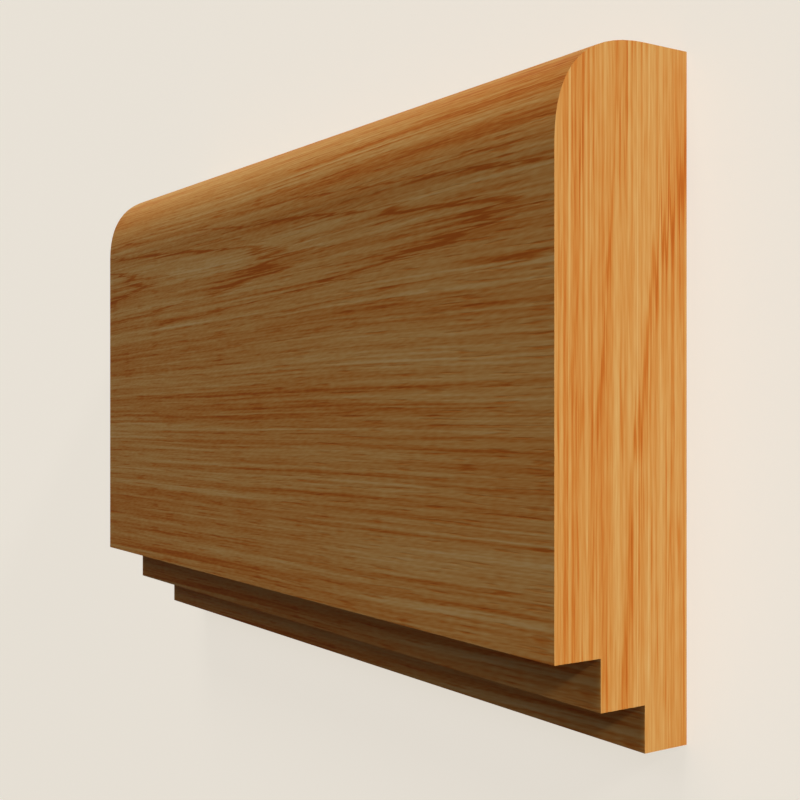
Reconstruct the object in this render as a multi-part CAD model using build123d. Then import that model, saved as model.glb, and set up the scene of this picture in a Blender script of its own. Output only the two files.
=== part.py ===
from build123d import *
import os

# Dado rail: a short cut length of solid oak moulding, run from one piece of timber.
#
# The rail lies on its flat back, as it would on a bench. X runs along its length, Y runs up
# its height as it hangs on a wall, and Z points out of the wall, from the back to the front face.
# The origin is the centre of the back. All sizes are in millimetres.

# Stock
LENGTH = 118.0  # cut length, end to end
HEIGHT = 72.0  # from the bottom of the lip to the top edge
THICKNESS = 18.0  # from the back to the front face

# Round-over along the top of the front face
ROUND_DROP = 11.5  # how far below the top edge it starts on the front face
ROUND_DEPTH = 12.0  # how far behind the front face it ends on the top edge

# Two square steps along the bottom of the front face, one behind the other
UPPER_STEP_DEPTH = 6.0  # from the front face back to the middle face
UPPER_STEP_HEIGHT = 5.4  # what shows of the middle face
LOWER_STEP_DEPTH = 6.0  # from the middle face back to the lip's face
LOWER_STEP_HEIGHT = 4.9  # what shows of the lip's face


def rail_section():
    """The moulding's section at the left end, with Y up the wall and Z out of it."""
    top = HEIGHT / 2
    bottom = -HEIGHT / 2
    middle_face_bottom = bottom + LOWER_STEP_HEIGHT
    front_face_bottom = middle_face_bottom + UPPER_STEP_HEIGHT
    front_face_top = top - ROUND_DROP

    back = 0.0
    front_face = THICKNESS
    middle_face = front_face - UPPER_STEP_DEPTH
    lip_face = middle_face - LOWER_STEP_DEPTH
    top_edge_front = front_face - ROUND_DEPTH

    with BuildSketch(Plane.YZ.offset(-LENGTH / 2)) as section:
        with BuildLine():
            Polyline(
                (top, top_edge_front),
                (top, back),
                (bottom, back),
                (bottom, lip_face),
                (middle_face_bottom, lip_face),
                (middle_face_bottom, middle_face),
                (front_face_bottom, middle_face),
                (front_face_bottom, front_face),
                (front_face_top, front_face),
            )
            # The round-over is tangent to the front face and to the top edge,
            # and tightest in between, where the square corner was.
            Bezier((front_face_top, front_face), (top, front_face), (top, top_edge_front))
        make_face()
    return section.sketch


def dado_rail():
    """The section run along the length, and cut square at both ends."""
    return extrude(rail_section(), amount=LENGTH)


os.makedirs("parts", exist_ok=True)
export_step(dado_rail(), "parts/dado_rail.step")
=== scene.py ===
import functools
import math

import bpy
from mathutils import Matrix, Vector


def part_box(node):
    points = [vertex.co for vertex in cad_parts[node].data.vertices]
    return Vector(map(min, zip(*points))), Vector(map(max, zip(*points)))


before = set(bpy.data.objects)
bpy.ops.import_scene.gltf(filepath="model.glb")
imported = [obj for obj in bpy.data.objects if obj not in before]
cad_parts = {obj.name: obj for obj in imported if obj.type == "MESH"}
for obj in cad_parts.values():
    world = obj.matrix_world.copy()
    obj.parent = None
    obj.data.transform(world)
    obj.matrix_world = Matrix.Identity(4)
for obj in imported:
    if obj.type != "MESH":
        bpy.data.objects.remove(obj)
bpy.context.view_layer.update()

MM = 0.001
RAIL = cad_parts["dado_rail"]
RAIL_LOW, RAIL_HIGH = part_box("dado_rail")

# The eye: how far it stands past the near end, off the front face and above the bottom of the lip
EYE_PAST_END = 91.5 * MM
EYE_OFF_FACE = 78.7 * MM
EYE_ABOVE_LIP = 35.6 * MM
VIEW_DIP = math.radians(33.655)
LENS_MM = 56.2
SENSOR_MM = 36.0
PICTURE_PX = 800
EYE_LEVEL_BELOW_CENTRE_PX = 2.1
NEAREST_SEEN = 10 * MM

# Oak from its darkest grain to its palest: place on the scale of tones, and colour
OAK_TONES = (
    (0.00, "#B95D10"),
    (0.17, "#C46D1F"),
    (0.30, "#CB7D2F"),
    (0.50, "#D29247"),
    (0.70, "#D8A25A"),
    (1.00, "#E0B676"),
)
DARKEST_GRAIN = -0.25
MIDDLE_GRAIN = 0.5
PALEST_GRAIN = 1.25

# Dense late wood takes the lacquer smoother than the open wood between the rings
DENSE_TONE = 0.2
DENSE_ROUGHNESS = 0.64
OPEN_TONE = 0.8
OPEN_ROUGHNESS = 0.72
LACQUER_SPECULAR = 0.2

# Streaks in the oak: length and width in millimetres, how far finer ones split them, and contrast
OAK_STREAKS = (
    (120.0, 7.0, 0.0, 0.60),
    (90.0, 2.8, 1.0, 0.66),
    (300.0, 0.62, 1.0, 0.78),
    (65.0, 0.46, 1.0, 0.90),
    (9.0, 0.34, 0.0, 0.40),
)
STREAK_SEED_STEP = 7.3
SEED_ACROSS = 0.7

# The streaks rise by this slope along the rail. Their sway and its cells are in millimetres.
GRAIN_RISE = 0.017
GRAIN_SWAY = 2.0
GRAIN_SWAY_LENGTH = 70.0
GRAIN_SWAY_WIDTH = 25.0

# A face that looks along the rail by more than this share is a sawn end.
# Streaks there are longer and fainter, from another place in the pattern.
END_FACING = 0.7
END_CONTRAST = 0.82
END_STREAK_SCALE = (0.45, 1.0, 1.0)
END_STREAK_START = (310.0, 170.0, 0.0)

# Ticks: short pores in millimetres, cut at a slant to the grain on the faces and straight on the ends
TICK_LENGTH = 1.5
TICK_WIDTH = 0.21
TICK_SLANT = math.radians(-5)
TICK_CONTRAST = 0.42

# Flecks in the oak: dark grooved pores and pale rays, in millimetres
PORE_LENGTH = 6.0
PORE_WIDTH = 0.32
PORE_DARKNESS = 0.3
PORE_DEPTH = 0.008 * MM
PORE_SEED = 40.0
RAY_LENGTH = 60.0
RAY_WIDTH = 0.38
RAY_PALENESS = 0.25
RAY_SEED = 71.0

# How high the noise is at the edge of a fleck, and where the fleck is full
FLECK_EDGE = 0.66
FLECK_FULL = 0.82

# Growth rings, which the face cuts as nested flames that point along the rail, in millimetres
FLAME_SPACING = 47.0
FLAME_AXIS = 0.8
FLAME_BLUNTNESS = 8.8
FLAME_SWAY_LENGTH = 30.0
FLAME_SWAY_WIDTH = 5.0

# How far the rings are drawn out down the flanks, moved along, swayed and frayed, counted in rings
FLAME_STEEPNESS = 6.7
FLAME_SHIFT = 0.07
FLAME_SWAY = 0.5
FLAME_FRAYING = 0.36

# How dark a ring is from its early wood to the end of its late wood: place in the ring, and darkness
RING_DARKNESS = ((0.0, 0.0), (0.55, 0.0), (0.81, 0.3), (0.88, 1.0), (0.91, 1.0), (0.97, 0.0))

# The flames fade to this share down their flanks, and a flank is 1 on the axis
FLANK_FADE_START = 1.05
FLANK_FADE_END = 1.4
FLANK_DARKNESS = 0.2

# The ends cut the same flames in another place, where they are larger and fainter
FLAME_DARKNESS = 0.78
END_FLAME_DARKNESS = 0.52
END_FLAME_SCALE = (0.7, 0.5, 1.0)
END_FLAME_START = (-20.2, 1.0, 0.0)

# The studio, in metres: the lamps stand well past the floor's edge, so that none makes a bright patch on it
FLOOR_HALF = 3.0
LAMP_DISTANCE = 12.0
FAR_END_MIDDLE = RAIL_HIGH.z / 2
WHITE_LIGHT = "#FFFFFF"
COOL_LIGHT = "#E6EAF9"
FLOOR_PAPER = "#9A968D"
PALE_BACKDROP = "#E9E2D6"
FLOOR_GLOW = 0.87
AMBIENT_LIGHT = 0.09

# The backdrop is pale at the horizon and dim above it, by the height of a direction of length 1
BACKDROP_FADE_START = 0.06
BACKDROP_FADE_END = 0.14
HORIZON_GLOW = 1.0
CEILING_GLOW = 0.06


def linear(hex_colour):
    """A colour written as sRGB hex, as the linear RGBA that a node takes."""
    channels = [int(hex_colour[i:i + 2], 16) / 255 for i in (1, 3, 5)]
    return [c / 12.92 if c <= 0.04045 else ((c + 0.055) / 1.055) ** 2.4 for c in channels] + [1.0]


def add_node(tree, kind, feeds=(), stops=(), **settings):
    """Adds a node and returns its first output in use.

    Feeds go to the inputs in use, in order or by name. Stops are a colour ramp's places and colours.
    """
    node = tree.nodes.new("ShaderNode" + kind)
    for name, value in settings.items():
        setattr(node, name, value)
    sockets = [socket for socket in node.inputs if socket.enabled]
    if isinstance(feeds, dict):
        sockets = [node.inputs[name] for name in feeds]
        feeds = feeds.values()
    for socket, feed in zip(sockets, feeds):
        if isinstance(feed, bpy.types.NodeSocket):
            tree.links.new(feed, socket)
        else:
            socket.default_value = feed
    for number, (position, colour) in enumerate(stops):
        ramp = node.color_ramp.elements
        stop = ramp[number] if number < len(ramp) else ramp.new(position)
        stop.position = position
        stop.color = colour
    return next((socket for socket in node.outputs if socket.enabled), None)


def new_tree(owner):
    """Empties the node tree of a material or a world, and returns the function that adds nodes to it."""
    owner.use_nodes = True
    owner.node_tree.nodes.clear()
    return functools.partial(add_node, owner.node_tree)


def oak_noise(add, place, length, width, seed, detail=0.0):
    """Noise from 0 to 1, in cells of this length along the grain and this width across it."""
    stretch = (1 / length, 1 / width, 1.0)
    start = (seed, SEED_ACROSS * seed, 0.0)
    cell = add("VectorMath", [place, stretch, start], operation="MULTIPLY_ADD")
    return add("TexNoise", {"Vector": cell, "Scale": 1.0, "Detail": detail}, noise_dimensions="2D")


def oak_streaks(add, place):
    """Light and dark streaks along the grain, as a value about 0."""
    total = 0.0
    for number, (length, width, split, contrast) in enumerate(OAK_STREAKS):
        streak = oak_noise(add, place, length, width, STREAK_SEED_STEP * number, split)
        streak = add("MapRange", [streak, 0.0, 1.0, -contrast / 2, contrast / 2])
        total = add("Math", [streak, total], operation="ADD")
    return total


def oak_flecks(add, place, length, width, seed):
    """Flecks along the grain: 0 between them, and 1 in the middle of one."""
    noise = oak_noise(add, place, length, width, seed)
    return add("MapRange", [noise, FLECK_EDGE, FLECK_FULL, 0.0, 1.0])


def oak_flames(add, place, streaks):
    """The dark late wood of the growth rings: 0 between the rings, and 1 in the darkest line."""
    along, across, _ = add("SeparateXYZ", [place]).node.outputs
    off_axis = add("MapRange", [across, FLAME_AXIS, FLAME_AXIS + FLAME_BLUNTNESS, 0.0, 1.0], clamp=False)
    flank = add("Math", [off_axis, off_axis, 1.0], operation="MULTIPLY_ADD")
    flank = add("Math", [flank], operation="SQRT")
    sway = oak_noise(add, place, FLAME_SWAY_LENGTH, FLAME_SWAY_WIDTH, seed=0.0, detail=1.0)
    ring = add("CombineXYZ", [along, flank, sway])
    stretch = (1 / FLAME_SPACING, FLAME_STEEPNESS, FLAME_SWAY)
    ring = add("VectorMath", [ring, stretch], operation="DOT_PRODUCT")
    ring = add("Math", [streaks, -FLAME_FRAYING, ring], operation="MULTIPLY_ADD")
    ring = add("Math", [ring, FLAME_SHIFT], operation="ADD")
    ring = add("Math", [ring], operation="FRACT")
    late_wood = add("ValToRGB", [ring], stops=[
        (position, (darkness, darkness, darkness, 1.0)) for position, darkness in RING_DARKNESS])
    near_axis = add("MapRange", [flank, FLANK_FADE_START, FLANK_FADE_END, 1.0, FLANK_DARKNESS])
    return add("Math", [late_wood, near_axis], operation="MULTIPLY")


def lacquered_oak():
    """Oak, planed and given a thin clear satin lacquer.

    It shows fine straight grain in warm orange browns, rings cut as soft flames, open pores
    and a low sheen.
    """
    material = bpy.data.materials.new("lacquered_oak")
    add = new_tree(material)
    place = add("TexCoord").node.outputs["Object"]
    place = add("VectorMath", [place, (1 / MM, 1 / MM, 1 / MM)], operation="MULTIPLY")
    along, up, out = add("SeparateXYZ", [place]).node.outputs

    # The grain runs along the rail on its faces, and up it on its sawn ends
    girth = add("Math", [up, out], operation="SUBTRACT")
    flame_place = add("CombineXYZ", [along, girth])
    sway = oak_noise(add, flame_place, GRAIN_SWAY_LENGTH, GRAIN_SWAY_WIDTH, seed=0.0)
    across = add("Math", [sway, GRAIN_SWAY, girth], operation="MULTIPLY_ADD")
    across = add("Math", [along, -GRAIN_RISE, across], operation="MULTIPLY_ADD")
    face_place = add("CombineXYZ", [along, across])
    end = add("CombineXYZ", [up, out])
    end_flame_place = add("VectorMath", [end, END_FLAME_SCALE, END_FLAME_START], operation="MULTIPLY_ADD")
    end_place = add("VectorMath", [end, END_STREAK_SCALE, END_STREAK_START], operation="MULTIPLY_ADD")
    normal = add("NewGeometry").node.outputs["True Normal"]
    faces_along = add("Math", [add("SeparateXYZ", [normal])], operation="ABSOLUTE")
    is_end = add("Math", [faces_along, END_FACING], operation="GREATER_THAN")
    place = add("Mix", [is_end, face_place, end_place], data_type="VECTOR")
    flame_place = add("Mix", [is_end, flame_place, end_flame_place], data_type="VECTOR")

    streaks = oak_streaks(add, place)
    contrast = add("Mix", [is_end, 1.0, END_CONTRAST])
    streaks = add("Math", [streaks, contrast, MIDDLE_GRAIN], operation="MULTIPLY_ADD")
    flames = oak_flames(add, flame_place, streaks)
    pores = oak_flecks(add, place, PORE_LENGTH, PORE_WIDTH, PORE_SEED)
    rays = oak_flecks(add, place, RAY_LENGTH, RAY_WIDTH, RAY_SEED)
    slant = add("Mix", [is_end, TICK_SLANT, 0.0])
    slanted = add("VectorRotate", {"Vector": place, "Angle": slant}, rotation_type="Z_AXIS")
    ticks = oak_noise(add, slanted, TICK_LENGTH, TICK_WIDTH, seed=0.0)
    ticks = add("MapRange", [ticks, 0.0, 1.0, -TICK_CONTRAST / 2, TICK_CONTRAST / 2])
    grain = add("Math", [ticks, contrast, streaks], operation="MULTIPLY_ADD")
    darkness = add("Mix", [is_end, -FLAME_DARKNESS, -END_FLAME_DARKNESS])
    grain = add("Math", [flames, darkness, grain], operation="MULTIPLY_ADD")
    grain = add("Math", [pores, -PORE_DARKNESS, grain], operation="MULTIPLY_ADD")
    grain = add("Math", [rays, RAY_PALENESS, grain], operation="MULTIPLY_ADD")

    tone = add("MapRange", [grain, DARKEST_GRAIN, PALEST_GRAIN, 0.0, 1.0])
    colour = add("ValToRGB", [tone], stops=[(position, linear(tint)) for position, tint in OAK_TONES])
    roughness = add("MapRange", [tone, DENSE_TONE, OPEN_TONE, DENSE_ROUGHNESS, OPEN_ROUGHNESS])
    grooves = add("Bump", {"Height": pores, "Distance": PORE_DEPTH}, invert=True)
    surface = add("BsdfPrincipled", {
        "Base Color": colour,
        "Roughness": roughness,
        "Specular IOR Level": LACQUER_SPECULAR,
        "Normal": grooves,
    })
    add("OutputMaterial", {"Surface": surface})
    return material


def seen_rays(add):
    """1 for rays that show a thing, straight or in a reflection, and 0 for rays that carry its light."""
    rays = add("LightPath").node.outputs
    mirrored = add("Math", [rays["Is Glossy Ray"], rays["Is Transmission Ray"]], operation="MAXIMUM")
    return add("Math", [rays["Is Camera Ray"], mirrored], operation="MAXIMUM")


def studio_floor():
    """A flat floor of paper. Its glow shows to the eye and in reflections, and adds no other light."""
    half = FLOOR_HALF
    corners = [(-half, -half, 0), (half, -half, 0), (half, half, 0), (-half, half, 0)]
    mesh = bpy.data.meshes.new("studio_floor")
    mesh.from_pydata(corners, [], [(0, 1, 2, 3)])
    floor = bpy.data.objects.new("studio_floor", mesh)
    bpy.context.scene.collection.objects.link(floor)
    material = bpy.data.materials.new("pale_paper")
    add = new_tree(material)
    paper = add("BsdfDiffuse", {"Color": linear(FLOOR_PAPER)})
    strength = add("Math", [seen_rays(add), FLOOR_GLOW], operation="MULTIPLY")
    glow = add("Emission", {"Color": linear(PALE_BACKDROP), "Strength": strength})
    add("OutputMaterial", {"Surface": add("AddShader", [paper, glow])})
    mesh.materials.append(material)


def studio_world():
    """A pale backdrop to the eye and in reflections, and otherwise a faint cool light from all sides."""
    world = bpy.data.worlds.new("studio_world")
    bpy.context.scene.world = world
    add = new_tree(world)
    direction = add("TexCoord").node.outputs["Generated"]
    height = add("SeparateXYZ", [direction]).node.outputs["Z"]
    pale = add("MapRange", [height, BACKDROP_FADE_START, BACKDROP_FADE_END, HORIZON_GLOW, CEILING_GLOW])
    seen = seen_rays(add)
    strength = add("Mix", [seen, AMBIENT_LIGHT, pale])
    colour = add("Mix", [seen, linear(COOL_LIGHT), linear(PALE_BACKDROP)], data_type="RGBA")
    background = add("Background", {"Color": colour, "Strength": strength})
    add("OutputWorld", {"Surface": background})


def studio_lamp(name, colour, towards, size, level):
    """A square soft box. A level of 1 lights a face square to it so that its colour renders as written."""
    data = bpy.data.lights.new(name, "AREA")
    data.color = linear(colour)[:3]
    data.size = size
    data.energy = level * math.pi ** 2 * LAMP_DISTANCE ** 2
    lamp = bpy.data.objects.new(name, data)
    direction = Vector(towards).normalized()
    lamp.location = direction * LAMP_DISTANCE
    lamp.rotation_euler = direction.to_track_quat("Z", "Y").to_euler()
    lamp.visible_camera = False
    bpy.context.scene.collection.objects.link(lamp)


def photo_camera():
    """Looks past the near end along the front face, with the rounded edge at the top of the picture."""
    data = bpy.data.cameras.new("photo_camera")
    data.lens = LENS_MM
    data.sensor_width = SENSOR_MM
    data.shift_y = EYE_LEVEL_BELOW_CENTRE_PX / PICTURE_PX
    data.clip_start = NEAREST_SEEN
    camera = bpy.data.objects.new("photo_camera", data)
    eye = Vector((RAIL_HIGH.x + EYE_PAST_END, RAIL_LOW.y + EYE_ABOVE_LIP, RAIL_HIGH.z + EYE_OFF_FACE))
    forward = Vector((-math.cos(VIEW_DIP), 0, -math.sin(VIEW_DIP)))
    up = Vector((0, 1, 0))
    turn = Matrix((forward.cross(up), up, -forward)).transposed()
    camera.matrix_world = Matrix.Translation(eye) @ turn.to_4x4()
    bpy.context.scene.collection.objects.link(camera)
    bpy.context.scene.camera = camera


RAIL.data.materials.clear()
RAIL.data.materials.append(lacquered_oak())
studio_floor()
studio_world()
studio_lamp("key_softbox", WHITE_LIGHT, towards=(0.95, 0.60, 0.06), size=1.2, level=1.02)
studio_lamp("upper_softbox", WHITE_LIGHT, towards=(0.0, 0.86, 0.51), size=3.75, level=0.215)
studio_lamp("overhead_softbox", COOL_LIGHT, towards=(0.05, 0.56, 0.83), size=4.1, level=0.112)
studio_lamp("low_softbox", COOL_LIGHT, towards=(-0.15, -1.0, 0.03), size=2.5, level=0.10)
# A lamp this small stays below the plane of the front face, so it lights the far end and not the front
far_end = (-LAMP_DISTANCE, 0.0, FAR_END_MIDDLE)
studio_lamp("far_end_softbox", WHITE_LIGHT, towards=far_end, size=FAR_END_MIDDLE, level=0.40)
photo_camera()
bpy.context.scene.view_settings.view_transform = "Standard"
